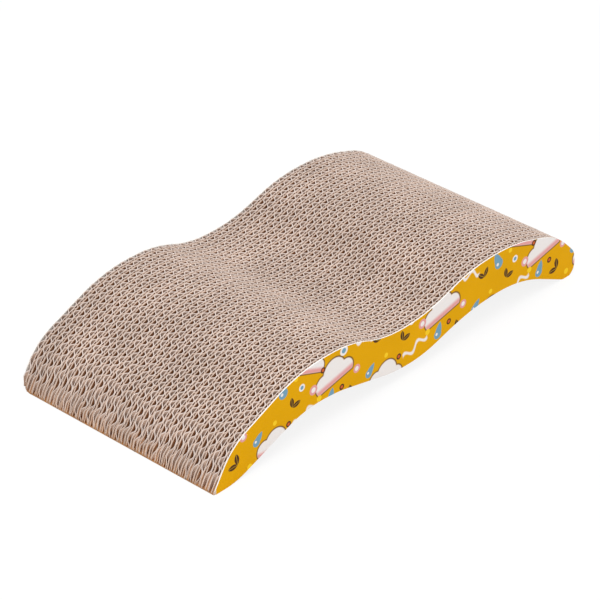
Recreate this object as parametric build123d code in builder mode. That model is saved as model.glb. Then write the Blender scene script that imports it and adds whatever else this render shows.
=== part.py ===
# Wavy cardboard scratcher that lies on the floor, made of corrugated strips glued side by side.
# Each strip stands on edge and runs the whole length, so its flutes stand upright and open upwards.
# X runs from the low toe to the blunt nose, Y from the near side panel to the far one, and Z is up.
# The origin is on the floor under the middle of the part. All lengths are in millimetres.
import os
from math import ceil, hypot, radians, tan

from build123d import *

os.makedirs("parts", exist_ok=True)

# Length, and heights of the wave over the floor
length = 400
crest_height = 60
valley_height = 44
arch_height = 25
belly_height = 10
toe_height = 1.6
front_knee_height = 31
rear_knee_height = 43.5
nose_top_height = 19
nose_bottom_height = 5

# Places along the wave, as shares of the length
front_knee_share = 0.046
front_crest_shares = (0.2175, 0.3475)
valley_shares = (0.4475, 0.5675)
rear_crest_shares = (0.685, 0.8175)
rear_knee_share = 0.94
rear_foot_shares = (0.965, 0.9875)
rear_arch_shares = (0.69, 0.8325)
belly_shares = (0.4775, 0.555)
front_arch_shares = (0.225, 0.31)
front_foot_share = 0.056

# Rounding of the outline's corners, as shares of the shorter side beside each corner
wave_round_share = 0.48
foot_round_share = 0.2

# Double-wall board: three flat liners with a small and a large fluted sheet between them
strip_count = 32
liner = 0.25
fluted_sheet = 0.25
small_flute_depth = 2.0
small_flute_pitch = 5.9
large_flute_depth = 3.4
large_flute_pitch = 7.8
strip_thickness = 3 * liner + small_flute_depth + large_flute_depth

# Printed card glued over the outermost strips
side_panel = 0.6
width = strip_count * strip_thickness + 2 * side_panel

# Places across the width, from the near side to the far side
near_side = -width / 2
first_strip = near_side + side_panel
far_panel = first_strip + strip_count * strip_thickness
strip_places = [first_strip + number * strip_thickness for number in range(strip_count)]
small_flute_inset = liner
middle_liner_inset = small_flute_inset + small_flute_depth
large_flute_inset = middle_liner_inset + liner
far_liner_inset = large_flute_inset + large_flute_depth
liner_insets = (0, middle_liner_inset, far_liner_inset)


# Side outline: corners along the upper side from toe to nose, then back along the underside.
outline_corners = [
    (0, 0, foot_round_share),
    (0, toe_height, wave_round_share),
    (front_knee_share, front_knee_height, wave_round_share),
    *[(share, crest_height, wave_round_share) for share in front_crest_shares],
    *[(share, valley_height, wave_round_share) for share in valley_shares],
    *[(share, crest_height, wave_round_share) for share in rear_crest_shares],
    (rear_knee_share, rear_knee_height, wave_round_share),
    (1, nose_top_height, wave_round_share),
    (1, nose_bottom_height, wave_round_share),
    *[(share, 0, foot_round_share) for share in reversed(rear_foot_shares)],
    *[(share, arch_height, wave_round_share) for share in reversed(rear_arch_shares)],
    *[(share, belly_height, wave_round_share) for share in reversed(belly_shares)],
    *[(share, arch_height, wave_round_share) for share in reversed(front_arch_shares)],
    (front_foot_share, 0, wave_round_share),
]
corner_points = [Vector(share * length - length / 2, height) for share, height, _ in outline_corners]


def corner_radius(number):
    """Radius whose arc touches both sides of a corner at its share of the shorter side."""
    before = corner_points[number - 1] - corner_points[number]
    after = corner_points[(number + 1) % len(corner_points)] - corner_points[number]
    half_turn = (180 - before.get_angle(after)) / 2
    round_share = outline_corners[number][2]
    return round_share * min(before.length, after.length) / tan(radians(half_turn))


with BuildSketch(Plane.XZ) as side_outline:
    with BuildLine():
        radii = [corner_radius(number) for number in range(len(corner_points))]
        FilletPolyline(*corner_points, radius=radii, close=True)
    make_face()


def side_plane(place):
    """Upright plane across the width, for a sheet whose near face is at this place."""
    return Plane.XZ.offset(-place)


def fold_points(pitch, depth):
    """Outline of one fluted sheet from above: a zigzag of even wall that fills the depth of its cell."""
    half_pitch = pitch / 2
    fold_count = 2 * ceil(length / pitch)
    wall = fluted_sheet * hypot(half_pitch, depth - fluted_sheet) / half_pitch
    rise = depth - wall
    fold_places = [(number - fold_count / 2) * half_pitch for number in range(fold_count + 1)]
    near_face = [(place, rise * (number % 2)) for number, place in enumerate(fold_places)]
    far_face = [(place, across + wall) for place, across in near_face]
    return near_face + far_face[::-1]


# Near side panel
with BuildPart() as near_side_panel:
    with BuildSketch(side_plane(near_side)):
        add(side_outline.sketch_local)
    extrude(amount=-side_panel)

near_side_panel.part.label = "near_side_panel"
export_step(near_side_panel.part, "parts/near_side_panel.step")

# Far side panel
with BuildPart() as far_side_panel:
    with BuildSketch(side_plane(far_panel)):
        add(side_outline.sketch_local)
    extrude(amount=-side_panel)

far_side_panel.part.label = "far_side_panel"
export_step(far_side_panel.part, "parts/far_side_panel.step")

# Strips: the three liners of each board
for number, strip_place in enumerate(strip_places, start=1):
    with BuildPart() as strip:
        for inset in liner_insets:
            with BuildSketch(side_plane(strip_place + inset)):
                add(side_outline.sketch_local)
            extrude(amount=-liner)
    strip.part.label = f"strip_{number:02d}"
    export_step(strip.part, f"parts/{strip.part.label}.step", write_pcurves=False)

# Small fluted sheet, cut to the side outline
with BuildPart() as small_sheet:
    with BuildSketch(Plane.XY):
        with BuildLine():
            Polyline(*fold_points(small_flute_pitch, small_flute_depth), close=True)
        make_face()
    extrude(amount=crest_height)
    with BuildSketch(side_plane(0)):
        add(side_outline.sketch_local)
    extrude(amount=-small_flute_depth, mode=Mode.INTERSECT)

# Small fluted sheets of all strips
with BuildPart() as small_flutes:
    with Locations(*[(0, strip_place + small_flute_inset, 0) for strip_place in strip_places]):
        add(small_sheet.part)

small_flutes.part.label = "small_flutes"
export_step(small_flutes.part, "parts/small_flutes.step", write_pcurves=False)

# Large fluted sheet, cut to the side outline
with BuildPart() as large_sheet:
    with BuildSketch(Plane.XY):
        with BuildLine():
            Polyline(*fold_points(large_flute_pitch, large_flute_depth), close=True)
        make_face()
    extrude(amount=crest_height)
    with BuildSketch(side_plane(0)):
        add(side_outline.sketch_local)
    extrude(amount=-large_flute_depth, mode=Mode.INTERSECT)

# Large fluted sheets of all strips
with BuildPart() as large_flutes:
    with Locations(*[(0, strip_place + large_flute_inset, 0) for strip_place in strip_places]):
        add(large_sheet.part)

large_flutes.part.label = "large_flutes"
export_step(large_flutes.part, "parts/large_flutes.step", write_pcurves=False)
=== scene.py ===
import bpy
import numpy as np
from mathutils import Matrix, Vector


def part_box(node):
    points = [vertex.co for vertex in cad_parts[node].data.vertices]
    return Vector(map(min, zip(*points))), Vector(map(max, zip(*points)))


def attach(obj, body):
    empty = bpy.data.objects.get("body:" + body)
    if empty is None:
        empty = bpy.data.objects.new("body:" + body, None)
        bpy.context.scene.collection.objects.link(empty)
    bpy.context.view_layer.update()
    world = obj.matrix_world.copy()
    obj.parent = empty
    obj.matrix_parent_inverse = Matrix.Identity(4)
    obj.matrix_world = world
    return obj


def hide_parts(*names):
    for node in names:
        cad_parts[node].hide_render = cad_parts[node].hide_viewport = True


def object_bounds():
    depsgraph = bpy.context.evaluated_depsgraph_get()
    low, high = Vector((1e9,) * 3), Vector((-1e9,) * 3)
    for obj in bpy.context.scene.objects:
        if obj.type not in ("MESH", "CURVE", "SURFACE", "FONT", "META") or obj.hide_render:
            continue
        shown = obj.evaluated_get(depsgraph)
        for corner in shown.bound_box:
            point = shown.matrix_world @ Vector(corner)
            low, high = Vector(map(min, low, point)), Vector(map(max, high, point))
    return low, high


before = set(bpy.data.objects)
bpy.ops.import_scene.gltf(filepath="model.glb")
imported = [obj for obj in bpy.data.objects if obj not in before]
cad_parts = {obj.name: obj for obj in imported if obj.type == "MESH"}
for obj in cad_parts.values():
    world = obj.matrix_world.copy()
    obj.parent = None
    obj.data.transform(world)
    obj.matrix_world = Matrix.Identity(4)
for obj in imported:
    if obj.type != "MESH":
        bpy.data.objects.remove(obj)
cad_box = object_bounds()

# Side outline
# Every strip and both panels are cut to one wavy outline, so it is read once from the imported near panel:
# its rim triangles that face up give the upper edge, and those that face down give the underside.
mm = 0.001
smallest_area = 1e-12
least_lean = 0.01
place_digits = 6


def rim_line(mesh, facing):
    """Rim as arrays of place and height: corners of the triangles that lean up (1) or down (-1)."""
    corners = np.empty(len(mesh.loops), np.int32)
    mesh.loops.foreach_get("vertex_index", corners)
    points = np.empty(3 * len(mesh.vertices))
    mesh.vertices.foreach_get("co", points)
    triangles = points.reshape(-1, 3)[corners].reshape(-1, 3, 3)
    across = np.cross(triangles[:, 1] - triangles[:, 0], triangles[:, 2] - triangles[:, 0])
    lean = across[:, 2] / np.maximum(np.linalg.norm(across, axis=1), smallest_area)
    rim = triangles[lean * facing > least_lean].reshape(-1, 3)
    places, first = np.unique(rim[:, 0].round(place_digits), return_index=True)
    return places, rim[first, 2]


outline_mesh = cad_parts["near_side_panel"].data
upper_rim = rim_line(outline_mesh, 1)
under_rim = rim_line(outline_mesh, -1)
toe = cad_box[0].x
nose = cad_box[1].x
half_width = cad_box[1].y
corner_width = 14 * mm
corner_length = 10 * mm


def front_end(y):
    """Front end of a sheet at this place across: the toe, set back round the worn far corner
    as a quarter ellipse."""
    share = np.clip(1 - (half_width - y) / corner_width, 0, 1)
    return toe + corner_length * (1 - np.sqrt(1 - share**2))


# Corrugated strips
# Each strip is double-wall kraft board stood on edge: three flat liners with a small and a large fluted
# sheet glued between them. The upright flutes are sawn off at the outline, so their ends show as arches.

# Papers, and the wider rims of their frayed cuts.
liner = 0.25 * mm
fluted_paper = 0.28 * mm
outer_liner_rim = 0.4 * mm
middle_liner_rim = 0.55 * mm
small_flute_rim = 0.5 * mm
large_flute_rim = 0.78 * mm
rim_start_share = 0.3

# Flutes of both sizes, how square their shoulders are, and the bias that makes arches broader than folds.
small_depth = 2.0 * mm
small_pitch = 5.9 * mm
small_squareness = 1.4
large_depth = 3.4 * mm
large_pitch = 7.8 * mm
large_squareness = 1.6
arch_bias = 0.13
toe_arch_bias = 0.4

# Samples along the sheets, and the bands of rows inside the cuts.
samples_per_flute = 13
liner_samples = 220
liner_end_share = 0.8
cut_band = 0.8 * mm
cut_room_share = 0.2
bent_band = 3.2 * mm
bent_room_share = 0.4

# Toe, where all sheets are bent over together and the first waves are drawn out and pressed.
crush_reach = 9 * mm
bend_length = 7.5 * mm
bend_height = 1.3 * mm
first_arches = (2.8 * mm, 5.8 * mm)
toe_stretch_shares = (0.3, 0.8)
toe_loss_shares = (0, 0.5)
settle_reach = 14 * mm
settle_share = 0.7
pressed_length = 5 * mm
small_pressed_shares = (0.5, 0.95)
large_pressed_shares = (-0.1, 0.15)

# Unevenness: wander of the flutes and lean of their cut ends in radians, loss of depth, frayed height and
# drift of the block, with the shortest and longest waves of each. A drift wave is two lengths and a start.
phase_seed = 7
first_strip_seed = 100
start_wander = 1.5
slow_wander = 0.12
slow_toe_wander = 0.3
slow_wander_waves = (24 * mm, 110 * mm)
flute_wander = 0.1
toe_wander = 0.7
wander_waves = (9 * mm, 30 * mm)
depth_loss_share = 0.045
depth_waves = (12 * mm, 50 * mm)
cut_lean = 0.1
toe_lean = 0.7
lean_waves = (7 * mm, 30 * mm)
row_lean_shares = (0, 0, 0, 0.7, 1)
flute_fray = 0.1 * mm
flute_fray_waves = (2 * mm, 9 * mm)
liner_fray = 0.08 * mm
liner_fray_waves = (6 * mm, 30 * mm)
drift_height = 0.2 * mm
drift_waves = ((117 * mm, 230 * mm, 0.0), (61 * mm, -150 * mm, 2.0))

# Crushed paper in the cells of the toe, which ends inside the middle liner on both sides.
crushed_length = 6.5 * mm
crushed_depth = 0.5 * mm
crushed_samples = 25
crushed_steps = 6
small_crushed_shares = (0.6, 0.9)
large_crushed_shares = (0.05, 0.4)
crushed_limit_shares = (0.1, 0.92)
ragged_share = 0.5
ragged_waves = (1.2 * mm, 5 * mm)
crushed_end = liner / 4

# Colours, and the tones that strips differ by.
liner_colour = (0.32, 0.145, 0.065, 1)
flute_colour = (0.65, 0.465, 0.36, 1)
# The cut colours are partly the pale sawn fibre and partly painted light on the rims over painted shade
# below them.
brown_cut_colour = (0.63, 0.455, 0.345, 1)
pale_cut_colour = (0.708, 0.595, 0.537, 1)
# The soil colour also paints the contact shadow along the foot of the toe.
soil_and_shadow_colour = (0.42, 0.185, 0.045, 1)
card_white = (0.90, 0.875, 0.84, 1)
strip_tones = (0.96, 1.04)

# Parts of a sheet's band of the map that its walls and its two end caps take up.
wall_map_shares = (0.96, 0.94)
cap_map_shares = (0.008, 0.94)
cap_start_shares = (0.97, 0.985)
map_margin_shares = (0.002, 0.03)


def ripple(x, draw, wavelengths, count=4):
    """Smooth unit noise along X: a sum of sine waves with drawn wavelengths and phases."""
    waves = draw.uniform(*wavelengths, count)
    phases = draw.uniform(0, 2 * np.pi, count)
    return np.sin(2 * np.pi * x[:, None] / waves + phases).sum(1) / np.sqrt(count)


def row_heights(x, fray):
    """Heights of a standing sheet's five rows: the underside, two bands inside the cuts, the frayed top."""
    low = np.interp(x, *under_rim)
    high = np.interp(x, *upper_rim) + fray
    room = high - low
    bent = np.minimum(bent_band, bent_room_share * room)
    cut = np.minimum(cut_band, cut_room_share * room)
    return np.stack([low, low + bent, high - bent, high - cut, high], axis=1)


def block_warp(x, y):
    """Sideways drift of the glued block: long sine waves over the plan, and at the toe one squared-sine
    bulge towards the far side, where all sheets are bent over. It fades to nothing at both panels."""
    drift = sum(
        np.sin(2 * np.pi * (x / along + y / across) + start) for along, across, start in drift_waves
    )
    bulge = np.sin(np.pi * np.clip((x - toe) / bend_length, 0, 1)) ** 2
    return (drift_height * drift + bend_height * bulge) * (1 - (y / half_width) ** 2)


def closed_mesh(one_side, other_side):
    """Points, faces and grid size of a closed shape between two facing grids of points: each row across
    becomes a ring, out along one side and back along the other, and the end rings are capped."""
    rings = np.concatenate([one_side, other_side[:, ::-1]], axis=1)
    count, ring = rings.shape[:2]
    here = np.arange(count * ring).reshape(count, ring)
    after = np.roll(here, -1, axis=1)
    walls = np.stack([here[:-1], here[1:], after[1:], after[:-1]], axis=2).reshape(-1, 4)
    step = np.arange(ring // 2 - 1)
    cap = np.stack([step, step + 1, ring - 2 - step, ring - 1 - step], axis=1)
    faces = np.concatenate([walls, cap, here[-1, 0] + cap[:, ::-1]])
    return rings.reshape(-1, 3), faces, (count, ring)


def standing_sheet(x, rows, y, paper, rim):
    """Closed thin sheet: both faces stand half a thickness off the middle surface along its plan normal,
    and it frays to a wider rim at the cuts. Returns what closed_mesh does, and depth square to the cuts."""
    rim_start = paper + rim_start_share * (rim - paper)
    thickness = np.array([rim, paper, paper, rim_start, rim])
    slope = np.gradient(y, x, axis=0)
    length = np.sqrt(1 + slope**2)
    shift_x = -slope / length * thickness / 2
    shift_y = thickness / 2 / length
    middle_x = np.repeat(x[:, None], rows.shape[1], axis=1)
    near = np.stack([middle_x - shift_x, y - shift_y, rows], axis=2)
    far = np.stack([middle_x + shift_x, y + shift_y, rows], axis=2)
    upright = np.gradient(x) / np.hypot(np.gradient(x), np.gradient(rows[:, -1]))
    depth = np.minimum((rows[:, -1:] - rows) * upright[:, None], rows - rows[:, :1])
    return *closed_mesh(near, far), np.concatenate([depth, depth[:, ::-1]], axis=1).ravel()


def fluted_sheet(middle, depth, pitch, squareness, rim, start_phase, pressed_shares, draw):
    """Corrugated sheet: its middle surface swings across its cell as a sine wave with squared shoulders,
    raised by the arch bias so that arches towards the far liner are broader than the folds between them.
    The first wave is drawn out along the toe, and pressed against the far liner there by a drawn share."""
    start = front_end(middle)
    x = np.linspace(start, nose, int((nose - start) / pitch * samples_per_flute))
    crush = np.exp(-(x - toe) / crush_reach)
    settled = 1 - settle_share * np.exp(-(x - toe) / settle_reach)
    along = x - toe - draw.uniform(*first_arches)
    stretch_share = draw.uniform(*toe_stretch_shares)
    phase = np.pi / 2 + 2 * np.pi * np.where(along < 0, stretch_share * along, along) / pitch
    phase += start_phase * settled
    phase += (slow_wander + slow_toe_wander * crush) * ripple(x, draw, slow_wander_waves)
    phase += (flute_wander + toe_wander * crush) * ripple(x, draw, wander_waves)
    swing = (depth - fluted_paper) / 2 * (1 - depth_loss_share * (1 + ripple(x, draw, depth_waves)))
    swing *= 1 - draw.uniform(*toe_loss_shares) * crush
    leaning = (cut_lean + toe_lean * crush) * ripple(x, draw, lean_waves)
    rows = row_heights(x, flute_fray * ripple(x, draw, flute_fray_waves))
    sine = np.sin(phase[:, None] + leaning[:, None] * np.array(row_lean_shares))
    bias = (arch_bias + toe_arch_bias * crush)[:, None]
    lowest, highest, wave = (np.tanh(squareness * (side + bias)) for side in (-1, 1, sine))
    wave = (2 * wave - highest - lowest) / (highest - lowest)
    pressed = draw.uniform(*pressed_shares) * np.exp(-(((x - toe) / pressed_length) ** 2))[:, None]
    y = middle + block_warp(x, middle)[:, None] + swing[:, None] * (wave + (1 - wave) * pressed)
    return standing_sheet(x, rows, y, fluted_paper, rim)


def flat_sheet(middle, rim, draw):
    """Liner: a flat sheet that follows the drift of the block, sampled more finely towards both ends."""
    along = np.linspace(0, 1, liner_samples)
    along -= liner_end_share * np.sin(2 * np.pi * along) / (2 * np.pi)
    start = front_end(middle)
    x = start + (nose - start) * along
    rows = row_heights(x, liner_fray * ripple(x, draw, liner_fray_waves))
    y = middle + block_warp(x, middle)[:, None] + np.zeros_like(rows)
    return standing_sheet(x, rows, y, liner, rim)


def crushed_toe(low_y, high_y, crushed_shares, draw):
    """Crushed paper that closes the cells along the toe: a wedge under the cut, which fills a share of the
    height and ends ragged at its top. Its profile is carried straight across the cell."""
    y = np.linspace(low_y, high_y, crushed_samples)
    ragged = draw.uniform(*crushed_shares) * (1 + ragged_share * ripple(y, draw, ragged_waves))
    x = front_end(y)[:, None] + crushed_length * np.linspace(0, 1, crushed_steps)
    low = np.interp(x, *under_rim)
    filled = np.interp(x, *upper_rim) - low
    high = low + filled * np.clip(ragged, *crushed_limit_shares)[:, None]
    across = np.repeat(y[:, None], x.shape[1], axis=1)
    under, over = (np.stack([x, across, z], axis=2) for z in (low, high))
    points, faces, size = closed_mesh(under, over)
    return points, faces, size, np.full(len(points), crushed_depth)


def band_map(size, number, count):
    """Map places of a sheet's corners: its walls unrolled into one band of the map, with its two end caps
    beside them."""
    columns, ring = size
    along = np.arange(columns - 1)[:, None] + np.zeros(ring)
    around = np.arange(ring) + np.zeros((columns - 1, 1))
    turn = np.array([[0, 0], [1, 0], [1, 1], [0, 1]])
    walls = np.stack([along, around], axis=2)[:, :, None] + turn
    walls = walls.reshape(-1, 2) / (columns - 1, ring) * wall_map_shares
    steps = np.arange(ring // 2 - 1)
    cap = (np.stack([np.zeros_like(steps), steps], axis=1)[:, None] + turn).reshape(-1, 2) / (1, len(steps))
    caps = [cap * cap_map_shares + (left, 0) for left in cap_start_shares]
    margin = np.array(map_margin_shares) + (0, number)
    return (np.concatenate([walls, *caps]) + margin) / (1, count)


def joined_mesh(name, sheets, **marks):
    """One mesh from several sheets, with depth below the cuts and each sheet's marks as attributes."""
    mesh = bpy.data.meshes.new(name)
    starts = np.cumsum([0] + [len(sheet[0]) for sheet in sheets])
    points = np.concatenate([sheet[0] for sheet in sheets])
    faces = np.concatenate([sheet[1] + start for sheet, start in zip(sheets, starts)])
    mesh.from_pydata(points, [], faces)
    values = {"below_cut": np.concatenate([sheet[3] for sheet in sheets]) / mm}
    for label, mark in marks.items():
        values[label] = np.repeat(np.array(mark, float), np.diff(starts))
    for label, value in values.items():
        mesh.attributes.new(label, "FLOAT", "POINT").data.foreach_set("value", value.astype(np.float32))
    bands = [band_map(sheet[2], number, len(sheets)) for number, sheet in enumerate(sheets)]
    places = np.concatenate(bands).astype(np.float32)
    mesh.uv_layers.new(name="OFBake").uv.foreach_set("vector", places.ravel())
    mesh.shade_smooth()
    return mesh


def add_node(tree, kind, inputs=None, **options):
    """Node with its options set, and each named or numbered input fed by a socket or a plain value."""
    node = tree.nodes.new(kind)
    for option, value in options.items():
        setattr(node, option, value)
    for name, value in (inputs or {}).items():
        if isinstance(value, bpy.types.NodeSocket):
            tree.links.new(value, node.inputs[name])
        else:
            node.inputs[name].default_value = value
    return node


def calculate(tree, operation, *terms):
    """Output of a Math node on the given terms."""
    return add_node(tree, "ShaderNodeMath", dict(enumerate(terms)), operation=operation).outputs[0]


def fade(tree, value, start, end):
    """Smooth share that goes from 0 at the start value to 1 at the end value."""
    limits = {0: value, 1: start, 2: end}
    return add_node(tree, "ShaderNodeMapRange", limits, interpolation_type="SMOOTHSTEP").outputs[0]


def mix_colours(tree, share, base, over, blend="MIX"):
    """Colour of base with over laid on it by its share."""
    inputs = {0: share, 6: base, 7: over}
    return add_node(tree, "ShaderNodeMix", inputs, data_type="RGBA", blend_type=blend).outputs[2]


def new_group(name, inputs, outputs):
    """Empty shader group with its sockets, and its input and output nodes."""
    group = bpy.data.node_groups.new(name, "ShaderNodeTree")
    for direction, sockets in (("INPUT", inputs), ("OUTPUT", outputs)):
        for label, kind in sockets.items():
            group.interface.new_socket(label, in_out=direction, socket_type=f"NodeSocket{kind}")
    return group, group.nodes.new("NodeGroupInput"), group.nodes.new("NodeGroupOutput")


def new_material(name):
    """New material, with its node tree and its main shader."""
    material = bpy.data.materials.new(name)
    material.use_nodes = True
    return material, material.node_tree, material.node_tree.nodes["Principled BSDF"]


def add_object(name, data):
    """New object with this data, linked to the scene."""
    thing = bpy.data.objects.new(name, data)
    bpy.context.scene.collection.objects.link(thing)
    return thing


# Paper grain shared by the kraft sheets and the card: blotchy tone, short fibres, and a height for bump.
fibre_share = 0.65
blotch_share = 0.7
blotch_scale = 28.0
grain, grain_in, grain_out = new_group(
    "paper_grain", {"Fibre Length": "Float", "Contrast": "Float"}, {"Tone": "Float", "Height": "Float"}
)
grain_place = add_node(grain, "ShaderNodeTexCoord").outputs["Object"]
fibre_scale = calculate(grain, "DIVIDE", 1.0, grain_in.outputs["Fibre Length"])
fibre_noise = {"Vector": grain_place, "Scale": fibre_scale, "Detail": 3.0, "Roughness": 0.65}
fibres = add_node(grain, "ShaderNodeTexNoise", fibre_noise).outputs[0]
blotch_noise = {"Vector": grain_place, "Scale": blotch_scale, "Detail": 2.0}
blotches = add_node(grain, "ShaderNodeTexNoise", blotch_noise).outputs[0]
blotchy = calculate(grain, "MULTIPLY", blotches, blotch_share)
mixed = calculate(grain, "MULTIPLY_ADD", fibres, fibre_share, blotchy)
centred = calculate(grain, "SUBTRACT", mixed, (fibre_share + blotch_share) / 2)
tone = calculate(grain, "MULTIPLY_ADD", centred, grain_in.outputs["Contrast"], 1.0)
grain.links.new(tone, grain_out.inputs["Tone"])
grain.links.new(fibres, grain_out.inputs["Height"])

# Kraft paper: brown sheets, paler at their sawn cuts and darker below them, partly the pale sawn fibre and
# partly painted light on the rims and painted shade down into the cells; soiled along the toe, and darker
# still at the floor, where the darkening is painted contact shadow. Depth below a cut is an attribute in
# millimetres, and so are the reaches that it is set against.
liner_cut_reach = 0.65
flute_cut_gain = 0.1
pale_rim_depth = 0.05
soil_and_shadow_start = toe + 7 * mm
soil_and_shadow_end = toe + 0.5 * mm
floor_shadow_top = 2.6 * mm
floor_shadow_full = 0.6 * mm
soil_base_share = 0.3
floor_shadow_share = 0.45
patch_start = 0.2
patch_full = 0.5
kraft, tree, shader = new_material("kraft_board")
below_cut, fluted, pale_cut, white_face, strip_tone = (
    add_node(tree, "ShaderNodeAttribute", attribute_name=name).outputs["Fac"]
    for name in ("below_cut", "fluted", "pale_cut", "white_face", "strip_tone")
)
board_fibres = {"Fibre Length": 1.6 * mm, "Contrast": 0.5}
board_grain = add_node(tree, "ShaderNodeGroup", board_fibres, node_tree=grain)
sheet_colour = mix_colours(tree, fluted, liner_colour, flute_colour)
cut_colour = mix_colours(tree, pale_cut, brown_cut_colour, pale_cut_colour)
cut_reach = calculate(tree, "MULTIPLY_ADD", fluted, flute_cut_gain, liner_cut_reach)
# Painted light and shade: the cut colour fades out below the rims, so rims are painted pale and the walls
# under them darker.
rim_fibre_and_light = fade(tree, below_cut, cut_reach, pale_rim_depth)
cut_sheet = mix_colours(tree, rim_fibre_and_light, sheet_colour, cut_colour)
faced_sheet = mix_colours(tree, white_face, cut_sheet, card_white)
place = add_node(tree, "ShaderNodeSeparateXYZ", {0: add_node(tree, "ShaderNodeTexCoord").outputs["Object"]})
near_toe = fade(tree, place.outputs["X"], soil_and_shadow_start, soil_and_shadow_end)
near_floor = fade(tree, place.outputs["Z"], floor_shadow_top, floor_shadow_full)
patchy = fade(tree, board_grain.outputs["Height"], patch_start, patch_full)
# Painted contact shadow: extra darkening of the toe towards the floor, over its real soiling.
soil_and_shadow = calculate(tree, "MULTIPLY_ADD", near_floor, floor_shadow_share, soil_base_share)
soil_and_shadow_share = calculate(tree, "MULTIPLY", calculate(tree, "MULTIPLY", near_toe, soil_and_shadow), patchy)
soiled_and_shaded = mix_colours(tree, soil_and_shadow_share, faced_sheet, soil_and_shadow_colour)
toned = mix_colours(tree, 1.0, soiled_and_shaded, board_grain.outputs["Tone"], "MULTIPLY")
board_colour = mix_colours(tree, 1.0, toned, strip_tone, "MULTIPLY")
tree.links.new(board_colour, shader.inputs["Base Color"])
shader.inputs["Roughness"].default_value = 0.92
shader.inputs["Specular IOR Level"].default_value = 0.1
board_bump = {"Height": board_grain.outputs["Height"], "Distance": 0.1 * mm, "Strength": 0.35}
bump = add_node(tree, "ShaderNodeBump", board_bump)
tree.links.new(bump.outputs[0], shader.inputs["Normal"])

# Marks of a strip's sheets in order: near liner, small flutes, middle liner, large flutes, far liner, and
# the crushed paper of both cells. The block's two outermost liners are white. Each strip's flutes start
# a drawn step on from those of the strip before.
fluted_shares = (0, 0.85, 0, 1, 0, 0, 0)
# Shares of the pale cut colour per sheet: how pale each rim is painted, partly sawn fibre and partly
# painted light.
pale_cut_shares = (0.4, 0.45, 1, 1, 0.4, 0.5, 0.5)
strip_nodes = sorted(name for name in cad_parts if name.startswith("strip_"))
phase_steps = np.random.default_rng(phase_seed).normal(0, start_wander, (len(strip_nodes), 2))
start_phases = (np.cumsum(phase_steps, axis=0) + np.pi) % (2 * np.pi) - np.pi
for number, node_name in enumerate(strip_nodes):
    draw = np.random.default_rng(first_strip_seed + number)
    low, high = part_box(node_name)
    near_liner = low.y + liner / 2
    small_flute = low.y + liner + small_depth / 2
    middle_liner = low.y + 1.5 * liner + small_depth
    large_flute = high.y - liner - large_depth / 2
    far_liner = high.y - liner / 2
    small_phase, large_phase = start_phases[number]
    sheets = [
        flat_sheet(near_liner, outer_liner_rim, draw),
        fluted_sheet(
            small_flute, small_depth, small_pitch, small_squareness, small_flute_rim, small_phase,
            small_pressed_shares, draw,
        ),
        flat_sheet(middle_liner, middle_liner_rim, draw),
        fluted_sheet(
            large_flute, large_depth, large_pitch, large_squareness, large_flute_rim, large_phase,
            large_pressed_shares, draw,
        ),
        flat_sheet(far_liner, outer_liner_rim, draw),
        crushed_toe(low.y, middle_liner - crushed_end, small_crushed_shares, draw),
        crushed_toe(middle_liner + crushed_end, high.y, large_crushed_shares, draw),
    ]
    tone = draw.uniform(*strip_tones)
    first = float(node_name == strip_nodes[0])
    last = float(node_name == strip_nodes[-1])
    mesh = joined_mesh(
        f"board_{node_name}",
        sheets,
        fluted=fluted_shares,
        pale_cut=pale_cut_shares,
        white_face=(first, 0, 0, 0, last, 0, 0),
        strip_tone=[tone] * len(sheets),
    )
    mesh.materials.append(kraft)
    board = add_object(f"board_{node_name}", mesh)
    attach(board, "root")
    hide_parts(node_name, "small_flutes", "large_flutes")

# Side panels
# Two sheets of coated card with a white core, printed yellow all over, die-cut to the outline and glued
# to the outermost strips. The cut edge shows the white core as a thin line along the top.
panel_step = 1.0 * mm
panel_setback = 2.0 * mm
least_outward = 0.9
sharp_angle = np.radians(40)
yellow = (0.70, 0.35, 0.0, 1)
print_white = (0.80, 0.76, 0.74, 1)
print_pink = (0.72, 0.33, 0.32, 1)
print_blue = (0.17, 0.33, 0.45, 1)
print_brown = (0.085, 0.035, 0.014, 1)
print_red = (0.58, 0.115, 0.03, 1)
print_lemon = (0.86, 0.56, 0.02, 1)
ink_border = 0.03

# Place of one motif in the repeat, in millimetres: wrapped round its centre, turned, divided by its size.
repeat = (118.0, 64.0, 1.0)
half_repeat = tuple(side / 2 for side in repeat)
minus_half_repeat = tuple(-side / 2 for side in repeat)
spot_sockets = {"Place": "Vector", "Centre": "Vector", "Turn": "Float", "Size": "Float"}
spot, spot_in, spot_out = new_group("motif_place", spot_sockets, {"Local": "Vector"})
place_and_centre = {0: spot_in.outputs["Place"], 1: spot_in.outputs["Centre"]}
offset = add_node(spot, "ShaderNodeVectorMath", place_and_centre, operation="SUBTRACT")
wrap_limits = {0: offset.outputs[0], 1: half_repeat, 2: minus_half_repeat}
wrapped = add_node(spot, "ShaderNodeVectorMath", wrap_limits, operation="WRAP")
turn_inputs = {"Vector": wrapped.outputs[0], "Angle": spot_in.outputs["Turn"]}
turned = add_node(spot, "ShaderNodeVectorRotate", turn_inputs, rotation_type="Z_AXIS")
inverse = calculate(spot, "DIVIDE", 1.0, spot_in.outputs["Size"])
scaled = add_node(spot, "ShaderNodeVectorMath", {0: turned.outputs[0], "Scale": inverse}, operation="SCALE")
spot.links.new(scaled.outputs[0], spot_out.inputs["Local"])


def disc_gap(tree, local, centre, radius):
    """Signed distance to a disc: the distance to its centre less its radius."""
    gap = add_node(tree, "ShaderNodeVectorMath", {0: local, 1: (*centre, 0.0)}, operation="DISTANCE")
    return calculate(tree, "SUBTRACT", gap.outputs["Value"], radius)


def inside(tree, gap, edge=0.0):
    """Share that is 1 where a signed distance is under the edge value, with a narrow soft border."""
    return fade(tree, gap, edge + ink_border, edge - ink_border)


def motif_group(name, outputs):
    """Empty motif group with local coordinates in and ink shares out."""
    return new_group(name, {"Local": "Vector"}, {label: "Float" for label in outputs})


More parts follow.
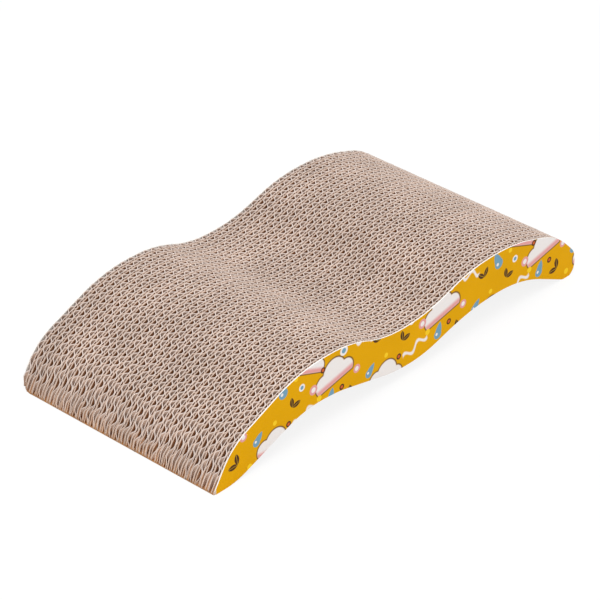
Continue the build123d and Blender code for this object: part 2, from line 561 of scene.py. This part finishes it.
# Cloud: three round lobes over a flat base, with a dark outline and a pink lower part.
cloud, cloud_in, cloud_out = motif_group("print_cloud", ("White", "Pink", "Line"))
local = cloud_in.outputs["Local"]
cloud_lobes = [((-0.5, -0.05), 0.36), ((0.02, 0.12), 0.5), ((0.52, -0.08), 0.33)]
cloud_base = -0.28
cloud_outline = 0.05
cloud_shade = (-0.02, -0.2)
cloud_gap = disc_gap(cloud, local, *cloud_lobes[0])
for lobe in cloud_lobes[1:]:
    cloud_gap = calculate(cloud, "MINIMUM", cloud_gap, disc_gap(cloud, local, *lobe))
height = add_node(cloud, "ShaderNodeSeparateXYZ", {0: local}).outputs["Y"]
cloud_gap = calculate(cloud, "MAXIMUM", cloud_gap, calculate(cloud, "SUBTRACT", cloud_base, height))
body = inside(cloud, cloud_gap)
rim = calculate(cloud, "SUBTRACT", inside(cloud, cloud_gap, cloud_outline), body)
shade = calculate(cloud, "MULTIPLY", body, fade(cloud, height, *cloud_shade))
for label, share in (("White", body), ("Pink", shade), ("Line", rim)):
    cloud.links.new(share, cloud_out.inputs[label])

# Leaf pair: two pointed leaves, each the overlap of two discs, with a thin vein along its middle.
leaves, leaves_in, leaves_out = motif_group("print_leaves", ("Ink", "Vein"))
local = leaves_in.outputs["Local"]
leaf_angle = 0.7
leaf_offset = 0.42
leaf_middle = 0.55
leaf_radius = 0.68
half_vein = 0.05
vein_inset = 0.04
leaf_gaps = []
vein_gaps = []
for side in (-1, 1):
    leaf_inputs = {"Vector": local, "Angle": side * leaf_angle}
    leaf = add_node(leaves, "ShaderNodeVectorRotate", leaf_inputs, rotation_type="Z_AXIS").outputs[0]
    centres = [(bulge * leaf_offset, leaf_middle) for bulge in (-1, 1)]
    halves = [disc_gap(leaves, leaf, centre, leaf_radius) for centre in centres]
    leaf_gaps.append(calculate(leaves, "MAXIMUM", *halves))
    leaf_axes = add_node(leaves, "ShaderNodeSeparateXYZ", {0: leaf})
    across = calculate(leaves, "ABSOLUTE", leaf_axes.outputs["X"])
    vein = calculate(leaves, "SUBTRACT", across, half_vein)
    vein_gaps.append(calculate(leaves, "MAXIMUM", leaf_gaps[-1], vein))
leaf_ink = inside(leaves, calculate(leaves, "MINIMUM", *leaf_gaps))
vein_ink = inside(leaves, calculate(leaves, "MINIMUM", *vein_gaps), -vein_inset)
leaves.links.new(leaf_ink, leaves_out.inputs["Ink"])
leaves.links.new(vein_ink, leaves_out.inputs["Vein"])

# Drop: a disc drawn out to a point, with a small highlight.
drop, drop_in, drop_out = motif_group("print_drop", ("Ink", "Glint"))
local = drop_in.outputs["Local"]
drop_disc = ((0.0, -0.2), 0.5)
tip_discs = [((-1.2, 0.0), 1.62), ((1.2, 0.0), 1.62)]
tip_limit = ((0.0, 0.35), 0.8)
glint_disc = ((-0.16, -0.18), 0.15)
tip = calculate(drop, "MAXIMUM", *(disc_gap(drop, local, *disc) for disc in tip_discs))
tip = calculate(drop, "MAXIMUM", tip, disc_gap(drop, local, *tip_limit))
drop_gap = calculate(drop, "MINIMUM", disc_gap(drop, local, *drop_disc), tip)
drop.links.new(inside(drop, drop_gap), drop_out.inputs["Ink"])
drop.links.new(inside(drop, disc_gap(drop, local, *glint_disc)), drop_out.inputs["Glint"])

# Ring: a disc with a band round it.
ring, ring_in, ring_out = motif_group("print_ring", ("Ink", "Middle"))
for label, radius in (("Ink", 0.5), ("Middle", 0.27)):
    ring_gap = disc_gap(ring, ring_in.outputs["Local"], (0.0, 0.0), radius)
    ring.links.new(inside(ring, ring_gap), ring_out.inputs[label])

# Wave line: a short thick stroke that swings up and down.
swell, swell_in, swell_out = motif_group("print_wave", ("Ink",))
swell_turning = 11.0
swell_height = 0.11
half_stroke = 0.055
half_length = 0.5
along = add_node(swell, "ShaderNodeSeparateXYZ", {0: swell_in.outputs["Local"]})
turning = calculate(swell, "MULTIPLY", along.outputs["X"], swell_turning)
bend = calculate(swell, "MULTIPLY", calculate(swell, "SINE", turning), swell_height)
off = calculate(swell, "ABSOLUTE", calculate(swell, "SUBTRACT", along.outputs["Y"], bend))
reach = calculate(swell, "SUBTRACT", calculate(swell, "ABSOLUTE", along.outputs["X"]), half_length)
stroke = calculate(swell, "MAXIMUM", calculate(swell, "SUBTRACT", off, half_stroke), reach)
swell.links.new(inside(swell, stroke), swell_out.inputs["Ink"])

# Inks of each motif, in the order in which they are laid down.
motif_inks = {
    "cloud": (cloud, (("Line", print_brown), ("White", print_white), ("Pink", print_pink))),
    "leaves": (leaves, (("Ink", print_brown), ("Vein", print_lemon))),
    "drop": (drop, (("Ink", print_blue), ("Glint", print_white))),
    "pink_ring": (ring, (("Ink", print_pink), ("Middle", print_white))),
    "blue_ring": (ring, (("Ink", print_white), ("Middle", print_blue))),
    "berry": (ring, (("Ink", print_brown), ("Middle", print_red))),
    "lemon_dot": (ring, (("Ink", print_lemon), ("Middle", print_lemon))),
    "wave": (swell, (("Ink", print_white),)),
}

# Layout of one repeat: motif, place along and up in millimetres, turn in degrees, size in millimetres.
layout = [
    ("cloud", -20, 12, 8, 21),
    ("cloud", 42, 40, -12, 23),
    ("cloud", 16, 60, 20, 19),
    ("wave", 12, 22, -18, 27),
    ("wave", 72, 56, 12, 25),
    ("leaves", -2, 34, 35, 8),
    ("leaves", 60, 14, -50, 9),
    ("leaves", 30, 10, 120, 8),
    ("leaves", -28, 46, -15, 8),
    ("drop", 38, 22, 15, 8),
    ("drop", -12, 52, -25, 9),
    ("drop", 80, 24, 40, 7),
    ("pink_ring", 20, 38, 0, 8),
    ("pink_ring", 66, 34, 0, 7),
    ("pink_ring", -4, 4, 0, 7),
    ("blue_ring", 52, 56, 0, 8),
    ("blue_ring", 8, 46, 0, 6),
    ("berry", 50, 26, 0, 5),
    ("berry", -6, 22, 0, 5),
    ("berry", 30, 50, 0, 5),
    ("lemon_dot", 26, 28, 0, 5),
    ("lemon_dot", -20, 30, 0, 4),
    ("lemon_dot", 72, 6, 0, 5),
    ("lemon_dot", 2, 56, 0, 4),
]

printed, tree, shader = new_material("printed_card")
axes = add_node(tree, "ShaderNodeSeparateXYZ", {0: add_node(tree, "ShaderNodeTexCoord").outputs["Object"]})
flat = add_node(tree, "ShaderNodeCombineXYZ", {"X": axes.outputs["X"], "Y": axes.outputs["Z"]})
to_mm = {0: flat.outputs[0], "Scale": 1 / mm}
sheet_place = add_node(tree, "ShaderNodeVectorMath", to_mm, operation="SCALE").outputs[0]
card_fibres = {"Fibre Length": 0.9 * mm, "Contrast": 0.2}
card_grain = add_node(tree, "ShaderNodeGroup", card_fibres, node_tree=grain)
ink_colour = mix_colours(tree, 1.0, yellow, card_grain.outputs["Tone"], "MULTIPLY")
for kind, along, up, turn, size in layout:
    group, inks = motif_inks[kind]
    spot_values = {"Place": sheet_place, "Centre": (along, up, 0), "Turn": np.radians(turn), "Size": size}
    where = add_node(tree, "ShaderNodeGroup", spot_values, node_tree=spot)
    motif = add_node(tree, "ShaderNodeGroup", {"Local": where.outputs["Local"]}, node_tree=group)
    for label, ink in inks:
        ink_colour = mix_colours(tree, motif.outputs[label], ink_colour, ink)
tree.links.new(ink_colour, shader.inputs["Base Color"])
shader.inputs["Roughness"].default_value = 0.55
shader.inputs["Specular IOR Level"].default_value = 0.03
card_bump = {"Height": card_grain.outputs["Height"], "Distance": 0.05 * mm, "Strength": 0.2}
bump = add_node(tree, "ShaderNodeBump", card_bump)
tree.links.new(bump.outputs[0], shader.inputs["Normal"])

core, tree, shader = new_material("white_card_core")
core_fibres = {"Fibre Length": 0.8 * mm, "Contrast": 0.15}
core_grain = add_node(tree, "ShaderNodeGroup", core_fibres, node_tree=grain)
core_colour = mix_colours(tree, 1.0, card_white, core_grain.outputs["Tone"], "MULTIPLY")
tree.links.new(core_colour, shader.inputs["Base Color"])
shader.inputs["Roughness"].default_value = 0.85

for node_name, outward in (("near_side_panel", -1), ("far_side_panel", 1)):
    low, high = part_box(node_name)
    middle = (low.y + high.y) / 2
    start = max(front_end(middle), toe + panel_setback)
    x = np.linspace(start, nose, int((nose - start) / panel_step))
    rows = row_heights(x, np.zeros_like(x))
    sheet = standing_sheet(x, rows, np.full_like(rows, middle), high.y - low.y, high.y - low.y)
    mesh = joined_mesh(f"printed_{node_name}", [sheet])
    mesh.materials.append(core)
    mesh.materials.append(printed)
    normals = np.empty(3 * len(mesh.polygons))
    mesh.polygons.foreach_get("normal", normals)
    outer = normals.reshape(-1, 3)[:, 1] * outward > least_outward
    mesh.polygons.foreach_set("material_index", outer.astype(np.int32))
    mesh.set_sharp_from_angle(angle=sharp_angle)
    panel = add_object(f"printed_{node_name}", mesh)
    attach(panel, "root")
    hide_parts(node_name)

# Floor
# A plain white studio floor that takes the scratcher's soft shadow. The camera sees it bleached by a share,
# so that it is white and the shadow on it stays faint.
floor_half = 6.0
bleach_share = 0.85


def seen_share(tree):
    """Share that is 1 for what the camera sees, directly or in a reflection or through glass."""
    paths = add_node(tree, "ShaderNodeLightPath")
    glossy = paths.outputs["Is Glossy Ray"]
    mirrored = calculate(tree, "MAXIMUM", glossy, paths.outputs["Is Transmission Ray"])
    return calculate(tree, "MAXIMUM", paths.outputs["Is Camera Ray"], mirrored)


floor_mesh = bpy.data.meshes.new("floor")
floor_corners = [(x, y, 0) for x, y in floor_half * np.array([(-1, -1), (1, -1), (1, 1), (-1, 1)])]
floor_mesh.from_pydata(floor_corners, [], [(0, 1, 2, 3)])
floor_paint, tree, shader = new_material("floor_white")
shader.inputs["Base Color"].default_value = (0.95, 0.95, 0.95, 1)
shader.inputs["Roughness"].default_value = 1.0
shader.inputs["Specular IOR Level"].default_value = 0.0
white = add_node(tree, "ShaderNodeEmission", {"Color": (1, 1, 1, 1), "Strength": 1.0})
bleached = calculate(tree, "MULTIPLY", seen_share(tree), bleach_share)
floor_shades = {0: bleached, 1: shader.outputs[0], 2: white.outputs[0]}
floor_mix = add_node(tree, "ShaderNodeMixShader", floor_shades)
tree.links.new(floor_mix.outputs[0], tree.nodes["Material Output"].inputs["Surface"])
floor_mesh.materials.append(floor_paint)
floor = add_object("floor", floor_mesh)

# Light
# An even white surround, and one large soft lamp high over the part.
world = bpy.data.worlds.new("studio")
bpy.context.scene.world = world
world.use_nodes = True
tree = world.node_tree
surround = tree.nodes["Background"]
surround.inputs["Strength"].default_value = 0.74
surround.inputs["Color"].default_value = (1, 1, 1, 1)
backdrop = add_node(tree, "ShaderNodeBackground", {"Color": (1, 1, 1, 1), "Strength": 1.0})
world_shades = {0: seen_share(tree), 1: surround.outputs[0], 2: backdrop.outputs[0]}
chosen = add_node(tree, "ShaderNodeMixShader", world_shades)
tree.links.new(chosen.outputs[0], tree.nodes["World Output"].inputs["Surface"])

key_light = bpy.data.lights.new("soft_lamp", "AREA")
key_light.shape = "DISK"
key_light.size = 1.4
key_light.energy = 24
key = add_object("soft_lamp", key_light)
key.location = (-0.35, -0.4, 1.97)
key.rotation_mode = "QUATERNION"
key.rotation_quaternion = Vector(key.location).to_track_quat("Z", "Y")

# Camera
# A long lens at the photograph's angle: height and bearing are solved from the outline's corners.
camera_data = bpy.data.cameras.new("camera")
camera_data.sensor_width = 36
camera_data.lens = 188.74
camera_data.clip_start = 0.05
camera_data.clip_end = 30
camera = add_object("camera", camera_data)
azimuth = np.radians(-47.318)
elevation = np.radians(32.351)
level = np.cos(elevation)
back = Vector((np.sin(azimuth) * level, -np.cos(azimuth) * level, np.sin(elevation)))
camera.location = (-1.4615, -1.3434, 1.2828)
camera.rotation_mode = "QUATERNION"
camera.rotation_quaternion = back.to_track_quat("Z", "Y")
bpy.context.scene.camera = camera

bpy.context.scene.view_settings.view_transform = "Standard"
